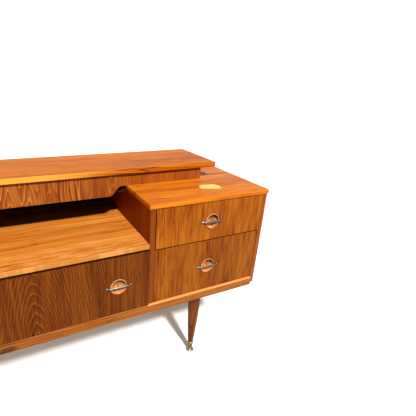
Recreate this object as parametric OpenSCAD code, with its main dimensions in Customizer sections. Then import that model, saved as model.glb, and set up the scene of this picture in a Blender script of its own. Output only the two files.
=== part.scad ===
// Dressing table: two pedestals of two drawers, a low centre top over one wide drawer, and a raised
// box across the back whose lid lifts on three hinges and carries a mirror underneath.
// +X is the right-hand side, the front faces -Y, and the floor is at Z = 0.

/* [Overall] */
// Width over the two pedestal tops
overall_w = 1520; // [1400:10:1640]
// Width of one pedestal top
pedestal_w = 450; // [420:5:480]
// Depth of the pedestal tops, front to back
top_d = 440; // [425:5:480]
// Height of the legs, floor to the underside of the carcase
leg_h = 316; // [250:1:380]

/* [Carcase] */
// Height of the drawer space in a pedestal
opening_h = 332; // [325:1:360]
// Thickness of the pedestal and centre tops
top_t = 16; // [14:1:20]
// Thickness of the sides and dividers
side_t = 17; // [16:1:20]
// Thickness of the bottom board
base_t = 16; // [14:1:18]
// Height of the front rail under the drawers
rail_h = 31; // [28:1:40]
// Thickness of the front rail
rail_t = 20; // [18:1:24]
// Drop from the pedestal tops to the low centre top
centre_drop = 129; // [110:1:150]
// Radius of the outer front corner of a pedestal top, seen from above
corner_r = 10; // [6:1:24]
// Thickness of the back panels
back_t = 5; // [4:1:6]

/* [Drawers] */
// Thickness of the drawer fronts
front_t = 16; // [15:1:18]
// Height of an upper drawer front
upper_h = 133; // [120:1:145]
// Gap round each drawer front
gap = 1.5; // [1.3:0.1:2.5]
// Thickness of the drawer sides and backs
box_t = 10; // [8:1:12]
// Thickness of the drawer bottoms
bottom_t = 4; // [3:0.5:5]
// Depth of the drawer boxes behind their fronts
box_d = 370; // [320:5:380]

/* [Handles] */
// Outer radius of the turned cup
cup_r = 27; // [25:0.5:30]
// Radius of the cup's body in the drawer front
cup_body_r = 25; // [23:0.5:26]
// Depth of the finger recess
dish_d = 10; // [8:0.5:11]
// Length of the metal bar, end to end
bar_l = 82; // [76:1:90]
// Height of the metal bar's strip
bar_h = 7; // [5:0.1:8]
// Thickness of the metal bar's strip
bar_t = 2.6; // [2:0.1:3]
// Reach of the bar in front of the drawer face
bar_reach = 8; // [7:0.5:9]

/* [Raised box] */
// Clear height of the box above the pedestal tops
box_h = 42.7; // [36:0.1:55]
// Distance of the centre apron behind the pedestal tops' front edge
box_set = 194.5; // [180:0.5:205]
// Depth of the centre apron below the pedestal tops
apron_drop = 32; // [28:1:45]
// Thickness of the box's boards
box_board_t = 16; // [14:1:18]
// Length of box that stands on each pedestal
box_reach = 288; // [260:1:310]

/* [Lid and mirror] */
// Thickness of the lid
lid_t = 17; // [16:0.5:20]
// Overhang of the lid past each end of the box
lid_over = 57; // [30:1:80]
// Length of the mirror
mirror_l = 560; // [500:5:570]
// Height of the mirror
mirror_w = 180; // [160:2:184]
// Thickness of the mirror
mirror_t = 4; // [3:0.5:5]

/* [Legs] */
// Radius at the top of a leg
leg_r = 23.5; // [22:0.5:28]
// Radius of a leg where it meets the brass ferrule
ankle_r = 10; // [9.5:0.5:12]
// Height of the brass ferrule
ferrule_h = 44; // [40:1:60]
// Radius of the foot disc
foot_r = 15.5; // [15:0.5:20]
// Distance of the legs in from the front and back edges
leg_inset = 75; // [60:1:90]

/* [Hidden] */
$fn = 64;

TEAK = [0.72, 0.38, 0.15];
TEAK_DARK = [0.52, 0.25, 0.09];
BEECH = [0.83, 0.68, 0.47];
PLY = [0.76, 0.6, 0.4];
BRASS = [0.8, 0.62, 0.3];
NICKEL = [0.66, 0.63, 0.57];
GLASS = [0.75, 0.82, 0.84];
PAPER = [0.96, 0.88, 0.56];

eps = 0.01;
half_w = overall_w / 2;
inner_x = half_w - pedestal_w; // inner edge of a pedestal top
face_set = 5;                  // pedestal drawer faces, sides and low top behind the pedestal tops' front edge
centre_set = -1;               // face of the centre drawer
rail_set = -2;                 // face of the rail
front_y = -(top_d - bar_reach + centre_set) / 2; // front edge of the pedestal tops
panel_back = top_d - 6;        // back edges of the sides and dividers
inside_back = panel_back - back_t - 2;

// Heights, from the floor up
base_top = leg_h + rail_h;
open_top = base_top + opening_h;
top_z = open_top + top_t;
low_z = top_z - centre_drop;
box_top = top_z + box_h;
lid_z = box_top + 0.3;

// Places across a pedestal, measured from its top's inner edge
div_a = [4, 4 + side_t];
side_a = [pedestal_w - 7 - side_t, pedestal_w - 7];
open_a = [div_a[1], side_a[0]];
leg_a = 232;
centre_half = inner_x + div_a[0];    // half the space between the dividers
between_sides = inner_x + side_a[0]; // half the space between the side panels

// Drawer fronts and boxes
upper_z = [open_top - gap - upper_h, open_top - gap];
lower_z = [base_top + gap, upper_z[0] - 3.5];
centre_z = [base_top + gap, low_z - top_t - 3];
centre_gap = 1;      // gap at each end of the centre drawer
shift = 0.9;         // upper fronts hang this far outwards and lower fronts inwards
handle_low = 2;      // handles below the middle of their fronts
slack = 0.4;         // clearance under and beside a drawer box
runner = [14, 12];   // width and height of a runner
bottom_up = 8;       // underside of a drawer bottom above the box's lower edge
groove = 5;          // depth of the groove for the drawer bottom
hole_r = cup_body_r + 0.1;
hole_d = 12.6;       // depth of the hole for the cup
cup_rim = 1.2;       // height of the cup's rim in front of the drawer face
dish_r = 23.5;       // radius of the recess at its mouth
dish_corner = 9.5;   // radius between the recess's floor and wall
crank = 9.5;         // length of each cranked end of a bar
pad = 7;             // length of the flat pad at each end of a bar
handle_x = 98;       // centre drawer handles, in from the pedestal tops' inner edges

// Raised box
well_z = top_z - apron_drop + 6;         // underside of the compartment's floor
floor_t = 6;
seam_a = -21;                            // joint between the apron and a side board
curve_a = -60;                           // start of the apron's curved corner
side_board_set = box_set + 1.5;
box_back_y = top_d - 8;                  // back face of the box
box_in_y = box_back_y - box_board_t;
lid_y = [box_set - 10, box_back_y];
lid_half = inner_x + box_reach + lid_over;

// Hinges: the axis lies behind the lid, level with its underside
axis_y = box_back_y + 3.6;
axis_z = lid_z;
hinge_l = 60;
knuckle_r = 3;
pin_r = 1.5;
leaf_t = 1.4;
leaf_w = 15;
hinge_x = [-480, 0, 480];
stop_x = [-400, 400];

// Mirror
mirror_y = (box_set + box_board_t + box_in_y) / 2;
clip_x = [-mirror_l / 3, 0, mirror_l / 3];

// Moves a shape from a pedestal's own measure (its top's inner front corner) to its place
module pedestal(side) mirror([side < 0 ? 1 : 0, 0, 0]) translate([inner_x, front_y, 0]) children();
module from_front() translate([0, front_y, 0]) children();
module from_centre() translate([0, front_y + centre_set - face_set, 0]) children();

// A plain board between two corners
module board(x, y, z) translate([x[0], y[0], z[0]]) cube([x[1] - x[0], y[1] - y[0], z[1] - z[0]]);

// ---- Carcase ----
panel_r = 10; // radius of a side panel's lower front corner
module side_panel(side) color(TEAK) pedestal(side)
    translate([side_a[0], 0, 0]) rotate([90, 0, 90]) linear_extrude(side_t) difference() {
        translate([face_set, leg_h]) square([panel_back - face_set, open_top - leg_h]);
        // rounded lower front corner
        translate([face_set, leg_h]) difference() {
            translate([-1, -1]) square(panel_r + 1);
            translate([panel_r, panel_r]) circle(panel_r);
        }
    }
module divider(side) color(TEAK_DARK) pedestal(side)
    board(div_a, [face_set, panel_back], [base_top, open_top]);
module base_board() color(BEECH) from_front()
    board([-between_sides, between_sides], [rail_set + rail_t, panel_back], [base_top - base_t, base_top]);
module base_rail() color(TEAK) from_front()
    board([-between_sides, between_sides], [rail_set, rail_set + rail_t], [leg_h, base_top]);
module back_panel(side) color(PLY) pedestal(side)
    board(open_a, [inside_back, inside_back + back_t], [base_top, open_top]);
module back_panel_centre() color(PLY) from_front()
    board([-centre_half, centre_half], [inside_back, inside_back + back_t], [base_top, well_z]);
module pedestal_top(side) color(TEAK) pedestal(side)
    translate([0, 0, open_top]) linear_extrude(top_t) difference() {
        square([pedestal_w, top_d]);
        translate([pedestal_w - corner_r, corner_r]) difference() {
            translate([0, -corner_r - 1]) square(corner_r + 1);
            circle(corner_r);
        }
    }
module centre_top() color(TEAK) from_front()
    board([-centre_half, centre_half], [face_set, inside_back], [low_z - top_t, low_z]);
// Runners under the upper drawers, screwed to the sides and the dividers
module drawer_runners() color(BEECH)
    for (side = [-1, 1], a = [open_a[0], open_a[1] - runner[0]]) pedestal(side)
        board([a, a + runner[0]], [face_set + front_t + 4, inside_back], [upper_z[0] - runner[1], upper_z[0]]);
// Blocks that the drawer boxes come to rest against
module stop_block(a, z) board([a - 6, a + 6], [face_set + front_t + box_d + 0.3, inside_back], [z, z + 18]);
module drawer_stops() color(BEECH) {
    for (side = [-1, 1]) pedestal(side) for (a = [open_a[0] + 6, open_a[1] - 6]) {
        stop_block(a, base_top);
        stop_block(a, upper_z[0]);
    }
    from_centre() for (side = [-1, 1]) stop_block(side * (centre_half - 60), base_top);
}

// ---- Legs ----
leg_y = [leg_inset, top_d - leg_inset];
bearer_z = [leg_h, base_top - base_t];
stud_r = 4;
stud_down = 22;
module leg_bearers() color(BEECH) for (side = [-1, 1]) pedestal(side) difference() {
    board([leg_a - 45, leg_a + 45], [rail_set + rail_t, panel_back], bearer_z);
    for (y = leg_y) translate([leg_a, y, leg_h - 1]) cylinder(r = stud_r, h = base_t + 10);
}
module leg_studs() color(NICKEL) for (side = [-1, 1], y = leg_y) pedestal(side)
    translate([leg_a, y, leg_h - stud_down]) cylinder(r = stud_r, h = stud_down + bearer_z[1] - bearer_z[0]);
// Turned taper, fuller at the top than at the ankle
function taper_r(t) = ankle_r + (leg_r - ankle_r) * sin(90 * t);
steps = 14;
tenon_r = 7.5;
tenon_z = 12;
module leg(side, y) color(TEAK) pedestal(side) translate([leg_a, y, 0]) difference() {
    rotate_extrude() polygon(concat(
        [[0, tenon_z], [tenon_r, tenon_z], [tenon_r, ferrule_h]],
        [for (i = [0:steps]) [taper_r(i / steps), ferrule_h + (leg_h - ferrule_h) * i / steps]],
        [[0, leg_h]]));
    translate([0, 0, leg_h - stud_down]) cylinder(r = stud_r, h = stud_down + 1);
}
// Brass sleeve with a domed foot disc
module ferrule() rotate_extrude() difference() {
    union() {
        polygon([[0, 3], [8.4, 3], [8.8, 12], [ankle_r + 0.6, ferrule_h], [0, ferrule_h]]);
        polygon([[0, 0], [foot_r - 1, 0], [foot_r, 1], [foot_r, 2], [foot_r - 2, 3.6], [8.4, 6], [0, 6]]);
    }
    translate([-1, tenon_z]) square([tenon_r + 1, ferrule_h]);
}
module foot_ferrules() color(BRASS) for (side = [-1, 1], y = leg_y) pedestal(side)
    translate([leg_a, y, 0]) ferrule();

// ---- Raised box ----
// Half outline of the apron: straight lower edge, then half a cosine wave up to the pedestal tops' level
seam_x = inner_x + seam_a;
curve_x = inner_x + curve_a;
wave_steps = 16;
apron_edge = concat(
    [for (i = [0:wave_steps]) let (t = i / wave_steps)
        [curve_x + (seam_x - curve_x) * t, top_z - apron_drop * (1 + cos(180 * t)) / 2]],
    [[seam_x, box_top]]);
// Outline of the right half and its mirror image, as one closed loop
function both_halves(points) = concat(points,
    [for (i = [len(points) - 1:-1:0]) [-points[i][0], points[i][1]]]);
module apron_centre() color(TEAK) from_front()
    translate([0, box_set + box_board_t, 0]) rotate([90, 0, 0]) linear_extrude(box_board_t)
        polygon(both_halves(apron_edge));
module box_front(side) color(TEAK) pedestal(side)
    board([seam_a, box_reach], [side_board_set, side_board_set + box_board_t], [top_z, box_top]);
module box_end(side) color(TEAK) pedestal(side)
    board([box_reach - box_board_t, box_reach], [side_board_set + box_board_t, box_in_y], [top_z, box_top]);
module leaf_recess(x, z) translate([x - hinge_l / 2, box_back_y - leaf_w, z])
    cube([hinge_l, leaf_w + 1, leaf_t + 1]);
module box_back() color(TEAK_DARK) from_front() difference() {
    union() {
        board([-(inner_x + box_reach), inner_x + box_reach], [box_in_y, box_back_y], [top_z, box_top]);
        board([-inner_x, inner_x], [box_in_y, box_back_y], [well_z, top_z + eps]);
    }
    for (x = hinge_x) leaf_recess(x, axis_z - 0.1 - leaf_t);
}
module well_partitions() color(TEAK_DARK) for (side = [-1, 1]) pedestal(side)
    board([-box_board_t, 0], [side_board_set + box_board_t, box_in_y], [well_z, box_top]);
module well_floor() color(PLY) from_front()
    board([-(inner_x - box_board_t), inner_x - box_board_t], [box_set + box_board_t, box_in_y],
        [well_z, well_z + floor_t]);
// Blank paper tag that lies on the right-hand top
module paper_label() color(PAPER) pedestal(1) translate([0, 0, top_z]) linear_extrude(0.5)
    polygon([[222, 84], [228, 108], [247, 121], [288, 112], [300, 92], [291, 62]]);

// ---- Hinges ----
// Knuckles 0 and 2 belong to the box and knuckle 1 to the lid
function knuckle(n) = n == 1 ? [-hinge_l / 6 + 0.3, hinge_l / 6 - 0.3]
    : n == 0 ? [-hinge_l / 2, -hinge_l / 6] : [hinge_l / 6, hinge_l / 2];
module along_x(x) translate([x[0], axis_y, axis_z]) rotate([0, 90, 0]) cylinder(r = knuckle_r, h = x[1] - x[0]);
module leaf(numbers, z, bore) difference() {
    union() {
        translate([-hinge_l / 2, box_back_y - leaf_w, z]) cube([hinge_l, leaf_w, leaf_t]);
        for (n = numbers) {
            along_x(knuckle(n));
            board(knuckle(n), [box_back_y - eps, axis_y - 2], [z, z + leaf_t]);
        }
    }
    translate([-hinge_l, axis_y, axis_z]) rotate([0, 90, 0]) cylinder(r = bore, h = 2 * hinge_l);
}
module hinge_leaves_fixed() color(BRASS) from_front()
    for (x = hinge_x) translate([x, 0, 0]) leaf([0, 2], axis_z - 0.1 - leaf_t, pin_r);
module hinge_leaves_moving() color(BRASS) from_front()
    for (x = hinge_x) translate([x, 0, 0]) leaf([1], axis_z + 0.1, pin_r + 0.06);
module hinge_pins() color(BRASS) from_front()
    for (x = hinge_x) translate([x - hinge_l / 2, axis_y, axis_z]) rotate([0, 90, 0])
        cylinder(r = pin_r, h = hinge_l);
// Brackets behind the box that the open lid leans against
module lid_stops() color(BRASS) from_front() for (x = stop_x) {
    board([x - 10, x + 10], [box_back_y, box_back_y + 1.6], [box_top - 30, box_top - 4]);
    board([x - 10, x + 10], [box_back_y + 1.6 - eps, top_d], [box_top - 10, box_top - 4]);
    board([x - 10, x + 10], [top_d - 1.6, top_d], [box_top - 4 - eps, axis_z + 2.9]);
}

// ---- Lid and mirror ----
module mirror_lid() color(TEAK) from_front() difference() {
    board([-lid_half, lid_half], lid_y, [lid_z, lid_z + lid_t]);
    for (x = hinge_x) leaf_recess(x, lid_z - 0.9);
}
module mirror_glass() color(GLASS) from_front()
    board([-mirror_l / 2, mirror_l / 2], [mirror_y - mirror_w / 2, mirror_y + mirror_w / 2],
        [lid_z - mirror_t, lid_z]);
// Each clip is a small step: a foot against the lid and a lip under the glass
clip_w = 14;
clip_t = 1.2;
lip = 4;
module at_clips() from_front() for (x = clip_x, end = [-1, 1])
    translate([x, mirror_y, lid_z]) mirror([0, end < 0 ? 1 : 0, 0]) translate([0, mirror_w / 2, 0]) children();
module mirror_clips() color(NICKEL) at_clips() difference() {
    union() {
        board([-clip_w / 2, clip_w / 2], [0, 9], [-mirror_t, 0]);
        board([-clip_w / 2, clip_w / 2], [-lip, 9], [-mirror_t - clip_t, -mirror_t + eps]);
    }
    translate([0, 5, -20]) cylinder(r = 1.5, h = 40);
}
module clip_screws() color(NICKEL) at_clips() translate([0, 5, 0]) {
    translate([0, 0, -mirror_t - clip_t]) cylinder(r = 1.5, h = mirror_t + clip_t);
    translate([0, 0, -mirror_t - clip_t - 1]) cylinder(r1 = 2.2, r2 = 3, h = 1);
}

// ---- Drawers ----
// x and z are the ranges of a front or a drawer box, and at is the middle of a handle
module cup_hole(at) translate([at[0], face_set + hole_d, at[1]]) rotate([90, 0, 0])
    cylinder(r = hole_r, h = hole_d + 1);
module front(x, z, handles) difference() {
    board(x, [face_set, face_set + front_t], z);
    for (at = handles) cup_hole(at);
}
module tray(x, z) {
    y = [face_set + front_t, face_set + front_t + box_d];
    floor_z = z[0] + bottom_up;
    difference() {
        union() {
            board([x[0], x[0] + box_t], y, z);
            board([x[1] - box_t, x[1]], y, z);
        }
        board([x[0] + box_t - groove, x[1] - box_t + groove], [y[0] - 1, y[1] + 1],
            [floor_z, floor_z + bottom_t]);
    }
    board([x[0] + box_t, x[1] - box_t], [y[1] - box_t, y[1]], [floor_z + bottom_t, z[1]]);
    board([x[0] + box_t - groove, x[1] - box_t + groove], y, [floor_z, floor_z + bottom_t]);
}
module cup(at) translate([at[0], face_set, at[1]]) rotate([90, 0, 0]) rotate_extrude() difference() {
    union() {
        translate([0, 0.1 - hole_d]) square([cup_body_r, hole_d - 0.1]);
        square([cup_r - 0.6, cup_rim]);
        translate([cup_r - 0.6, cup_rim / 2]) circle(cup_rim / 2);
    }
    translate([-1, -dish_d]) square([dish_r - dish_corner + 1, dish_d + 5]);
    translate([dish_r - dish_corner, dish_corner - dish_d]) circle(dish_corner);
    translate([0, dish_corner - dish_d]) square([dish_r, 5]);
}
// Flat strip: pads against the front, cranked ends, and a straight middle over the recess
pad_x = bar_l / 2 - pad;
bar_outline = [
    [pad_x - crank, -bar_reach], [pad_x, -bar_t], [bar_l / 2, -bar_t],
    [bar_l / 2, 0], [pad_x - bar_t / 3, 0], [pad_x - crank - bar_t / 3, bar_t - bar_reach]];
module bar(at) translate([at[0], face_set, at[1] - bar_h / 2]) linear_extrude(bar_h)
    polygon(both_halves(bar_outline));

upper_front_x = [open_a[0] + gap + shift, open_a[1] - gap + shift];
lower_front_x = [open_a[0] + gap - shift, open_a[1] - gap - shift];
pedestal_tray_x = [open_a[0] + 1, open_a[1] - 1];
upper_tray_z = [upper_z[0] + slack, upper_z[1] - 12];
lower_tray_z = [base_top + slack, upper_z[0] - runner[1] - 3];
centre_front_x = [centre_gap - centre_half, centre_half - centre_gap];
centre_tray_x = [1 - centre_half, centre_half - 1];
centre_tray_z = [base_top + slack, centre_z[1] - 22];
function middle(range) = (range[0] + range[1]) / 2;
upper_handle = [[middle(upper_front_x), middle(upper_z) - handle_low]];
lower_handle = [[middle(lower_front_x), middle(lower_z) - handle_low]];
centre_handles = [for (s = [-1, 1]) [s * (inner_x - handle_x), middle(centre_z) - handle_low]];

module front_upper(side) color(TEAK) pedestal(side) front(upper_front_x, upper_z, upper_handle);
module front_lower(side) color(TEAK) pedestal(side) front(lower_front_x, lower_z, lower_handle);
module tray_upper(side) color(BEECH) pedestal(side) tray(pedestal_tray_x, upper_tray_z);
module tray_lower(side) color(BEECH) pedestal(side) tray(pedestal_tray_x, lower_tray_z);
module cups(handles) color(TEAK_DARK) for (at = handles) cup(at);
module bars(handles) color(NICKEL) for (at = handles) bar(at);
module front_centre() color(TEAK_DARK) from_centre() front(centre_front_x, centre_z, centre_handles);
module tray_centre() color(BEECH) from_centre() tray(centre_tray_x, centre_tray_z);

side_panel(-1);  // side_panel_left
side_panel(1);  // side_panel_right
divider(-1);  // divider_left
divider(1);  // divider_right
base_board();
base_rail();
back_panel(-1);  // back_panel_left
back_panel(1);  // back_panel_right
back_panel_centre();
pedestal_top(-1);  // pedestal_top_left
pedestal_top(1);  // pedestal_top_right
centre_top();
drawer_runners();
drawer_stops();
leg_bearers();
leg_studs();
leg(-1, leg_y[0]);  // leg_front_left
leg(1, leg_y[0]);  // leg_front_right
leg(-1, leg_y[1]);  // leg_rear_left
leg(1, leg_y[1]);  // leg_rear_right
foot_ferrules();
apron_centre();
box_front(-1);  // box_front_left
box_front(1);  // box_front_right
box_end(-1);  // box_end_left
box_end(1);  // box_end_right
box_back();
well_partitions();
well_floor();
hinge_leaves_fixed();
hinge_pins();
lid_stops();
paper_label();
mirror_lid();
hinge_leaves_moving();
mirror_glass();
mirror_clips();
clip_screws();
front_upper(-1);  // front_upper_left
tray_upper(-1);  // tray_upper_left
pedestal(-1) cups(upper_handle);  // cup_upper_left
pedestal(-1) bars(upper_handle);  // bar_upper_left
front_upper(1);  // front_upper_right
tray_upper(1);  // tray_upper_right
pedestal(1) cups(upper_handle);  // cup_upper_right
pedestal(1) bars(upper_handle);  // bar_upper_right
front_lower(-1);  // front_lower_left
tray_lower(-1);  // tray_lower_left
pedestal(-1) cups(lower_handle);  // cup_lower_left
pedestal(-1) bars(lower_handle);  // bar_lower_left
front_lower(1);  // front_lower_right
tray_lower(1);  // tray_lower_right
pedestal(1) cups(lower_handle);  // cup_lower_right
pedestal(1) bars(lower_handle);  // bar_lower_right
front_centre();
tray_centre();
from_centre() cups(centre_handles);  // cups_centre
from_centre() bars(centre_handles);  // bars_centre
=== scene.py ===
"""Looks of the teak dressing table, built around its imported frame.

Lengths are in metres. The boards keep their solids and get eased edges and veneer. The pedestal tops,
handles, legs, feet, mirror, drawer boxes and paper tag are modelled here, each in its own place.
"""
import logging
import math
from collections.abc import Callable, Iterable
from dataclasses import dataclass, field
from enum import Enum

import bmesh
import bpy
from mathutils import Matrix, Vector


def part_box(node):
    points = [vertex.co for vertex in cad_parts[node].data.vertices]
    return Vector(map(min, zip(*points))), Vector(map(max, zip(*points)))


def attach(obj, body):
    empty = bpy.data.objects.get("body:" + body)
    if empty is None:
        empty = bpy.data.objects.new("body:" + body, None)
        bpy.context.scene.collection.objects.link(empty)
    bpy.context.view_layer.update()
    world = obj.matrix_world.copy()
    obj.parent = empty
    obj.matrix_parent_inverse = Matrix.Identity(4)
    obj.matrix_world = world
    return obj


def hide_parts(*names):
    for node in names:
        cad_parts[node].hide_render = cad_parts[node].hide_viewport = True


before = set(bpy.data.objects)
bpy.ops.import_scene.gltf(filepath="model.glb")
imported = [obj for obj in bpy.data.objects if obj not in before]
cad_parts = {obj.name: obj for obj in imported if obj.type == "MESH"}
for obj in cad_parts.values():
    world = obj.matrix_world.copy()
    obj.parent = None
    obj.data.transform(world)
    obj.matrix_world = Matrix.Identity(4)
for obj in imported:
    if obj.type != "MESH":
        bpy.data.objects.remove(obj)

LOG = logging.getLogger("dressing_table")
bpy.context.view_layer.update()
MM = 0.001
SIDES = {"left": -1, "right": 1}
Colour = tuple[float, float, float]


def paint(red: int, green: int, blue: int) -> Colour:
    """Gives a paint-chart colour, 0 to 255 a channel, as the linear colour that shaders take."""
    shares = (red / 255, green / 255, blue / 255)
    return tuple(((c + 0.055) / 1.055) ** 2.4 if c > 10 / 255 else c / 12.92 for c in shares)


# ---- Shader maths ----


class Num:
    """A shader number that Python's operators combine."""

    def __init__(self, graph: "Graph", socket: bpy.types.NodeSocket) -> None:
        """Keeps the graph that the number belongs to and the socket it comes from."""
        self.graph = graph
        self.socket = socket

    def math(self, operation: str, *values: "Num | float") -> "Num":
        """Feeds this number and others to one Math node."""
        sockets = dict(enumerate((self, *values)))
        return Num(self.graph, self.graph.add("ShaderNodeMath", {"operation": operation}, sockets).outputs[0])

    def __add__(self, other: "Num | float") -> "Num":
        """Adds."""
        return self.math("ADD", other)

    def __sub__(self, other: "Num | float") -> "Num":
        """Subtracts."""
        return self.math("SUBTRACT", other)

    def __rsub__(self, other: float) -> "Num":
        """Subtracts this number from a plain one."""
        return (self * -1.0) + other

    def __mul__(self, other: "Num | float") -> "Num":
        """Multiplies."""
        return self.math("MULTIPLY", other)

    def __truediv__(self, other: "Num | float") -> "Num":
        """Divides."""
        return self.math("DIVIDE", other)

    def __pow__(self, other: float) -> "Num":
        """Raises to a power."""
        return self.math("POWER", other)

    __radd__ = __add__
    __rmul__ = __mul__

    def fraction(self) -> "Num":
        """Keeps the part after the decimal point."""
        return self.math("FRACT")

    def size(self) -> "Num":
        """Drops the sign."""
        return self.math("ABSOLUTE")

    def between(self, low: float, high: float) -> "Num":
        """Rises smoothly from 0 at low to 1 at high, or falls where low is the larger.

        Args:
            low: value that gives 0.
            high: value that gives 1.

        Returns:
            The smoothed share.
        """
        node = self.graph.add(
            "ShaderNodeMapRange",
            {"interpolation_type": "SMOOTHSTEP"},
            {"Value": self, "From Min": min(low, high), "From Max": max(low, high)},
        )
        share = Num(self.graph, node.outputs["Result"])
        return share if low < high else 1.0 - share


class Graph:
    """The node tree of one finish."""

    def __init__(self, name: str) -> None:
        """Starts an empty material.

        Args:
            name: name of the material.
        """
        self.material = bpy.data.materials.new(name)
        self.material.use_nodes = True
        self.tree = self.material.node_tree
        self.tree.nodes.clear()
        self.output = self.add("ShaderNodeOutputMaterial")
        place = self.add("ShaderNodeTexCoord")
        split = self.add("ShaderNodeSeparateXYZ", sockets={0: place.outputs["Object"]})
        self.place = place.outputs["Object"]
        self.axis = {name: Num(self, split.outputs[name.upper()]) for name in "xyz"}

    def add(self, kind: str, settings: dict | None = None, sockets: dict | None = None) -> bpy.types.Node:
        """Adds a node.

        Args:
            kind: the node's type.
            settings: its properties, set first; "stops" fills a colour ramp with (place, colour) pairs.
            sockets: values, numbers or links of its inputs, by name or index.

        Returns:
            The node.
        """
        node = self.tree.nodes.new(kind)
        for key, value in (settings or {}).items():
            if key == "stops":
                self._set_stops(node.color_ramp.elements, value)
            else:
                setattr(node, key, value)
        for key, value in (sockets or {}).items():
            self.feed(node.inputs[key], value)
        return node

    def feed(self, socket: bpy.types.NodeSocket, value: object) -> None:
        """Links a number or socket to an input, or sets the input's own value."""
        if isinstance(value, Num):
            value = value.socket
        if isinstance(value, bpy.types.NodeSocket):
            self.tree.links.new(value, socket)
        elif socket.type == "RGBA" and len(value) == 3:
            socket.default_value = (*value, 1.0)
        else:
            socket.default_value = value

    @staticmethod
    def _set_stops(elements: bpy.types.ColorRampElements, stops: Iterable[tuple[float, Colour]]) -> None:
        """Fills a colour ramp."""
        for index, (position, colour) in enumerate(stops):
            element = elements[index] if index < 2 else elements.new(position)
            element.position = position
            element.color = (*colour, 1.0)

    def noise(self, x: Num, y: Num, seed: float = 0.0, detail: float = 3.0, rough: float = 0.55) -> Num:
        """Makes soft noise over two directions.

        Args:
            x: first direction, already divided by the noise's size along it.
            y: second direction, likewise.
            seed: third direction, which gives each board its own noise.
            detail: octaves.
            rough: strength of the finer octaves.

        Returns:
            Noise from 0 to 1, around 0.5.
        """
        point = self.add("ShaderNodeCombineXYZ", sockets={0: x, 1: y, 2: seed})
        sockets = {"Vector": point.outputs[0], "Scale": 1.0, "Detail": detail, "Roughness": rough}
        node = self.add("ShaderNodeTexNoise", {"noise_dimensions": "3D"}, sockets)
        return Num(self, node.outputs["Fac"])

    def speckle(self, size: float, detail: float = 2.0) -> Num:
        """Makes even noise in space, with grains of one size."""
        sockets = {"Vector": self.place, "Scale": 1.0 / size, "Detail": detail}
        return Num(self, self.add("ShaderNodeTexNoise", {"noise_dimensions": "3D"}, sockets).outputs["Fac"])

    def underside(self, high: float = 0.1, low: float = -0.35) -> Num:
        """Finds the faces that look down."""
        normal = self.add("ShaderNodeNewGeometry").outputs["Normal"]
        split = self.add("ShaderNodeSeparateXYZ", sockets={0: normal})
        return Num(self, split.outputs["Z"]).between(high, low)

    def ramp(self, value: Num, stops: Iterable[tuple[float, Colour]]) -> bpy.types.NodeSocket:
        """Turns a number into a colour through a ramp's stops."""
        return self.add("ShaderNodeValToRGB", {"stops": stops}, {0: value}).outputs["Color"]

    def blend(self, share: "Num | float", first: object, second: object) -> bpy.types.NodeSocket:
        """Mixes two colours.

        Args:
            share: how much of the second colour, 0 to 1.
            first: colour or socket.
            second: colour or socket.

        Returns:
            The mixed colour.
        """
        sockets = {0: share, 6: first, 7: second}
        return self.add("ShaderNodeMix", {"data_type": "RGBA"}, sockets).outputs[2]

    def relief(self, height: Num, distance: float, strength: float = 1.0) -> bpy.types.NodeSocket:
        """Turns a height into a bumped normal."""
        sockets = {"Height": height, "Distance": distance, "Strength": strength}
        return self.add("ShaderNodeBump", sockets=sockets).outputs["Normal"]

    def finish(self, **sockets: object) -> bpy.types.Material:
        """Ends the graph in a Principled shader.

        Args:
            sockets: the shader's inputs, with _ for the spaces in their names.

        Returns:
            The finished material.
        """
        named = {key.replace("_", " "): value for key, value in sockets.items()}
        shader = self.add("ShaderNodeBsdfPrincipled", sockets=named)
        self.feed(self.output.inputs["Surface"], shader.outputs["BSDF"])
        return self.material


# ---- Finishes ----


class Lay(Enum):
    """How a board's grain lies: its axes along the grain, across it in the face, and through the board."""

    UP_FRONT = "zxy"
    UP_SIDE = "zyx"
    ALONG_TOP = "xyz"
    ALONG_FRONT = "xzy"
    DEEP_SIDE = "yzx"
    DEEP_TOP = "yxz"


class Figure(Enum):
    """The pattern that the growth rings draw on a board's face."""

    STRAIGHT = "quarter-cut stripes"
    CROWN = "nested arches"
    WAVY = "swinging lines"


@dataclass(frozen=True)
class EdgeBand:
    """A band along one edge of a board: a solid strip, or a painted highlight.

    Attributes:
        axis: axis that points from the edge into the board, or out of it where the width is negative.
        edge: place of the edge on that axis.
        width: width of the strip.
        colour: its colour.
        fade: places on the X axis where the colour is full and where it has gone, if it fades.
    """

    axis: str
    edge: float
    width: float
    colour: Colour
    fade: tuple[float, float] | None = None


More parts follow.
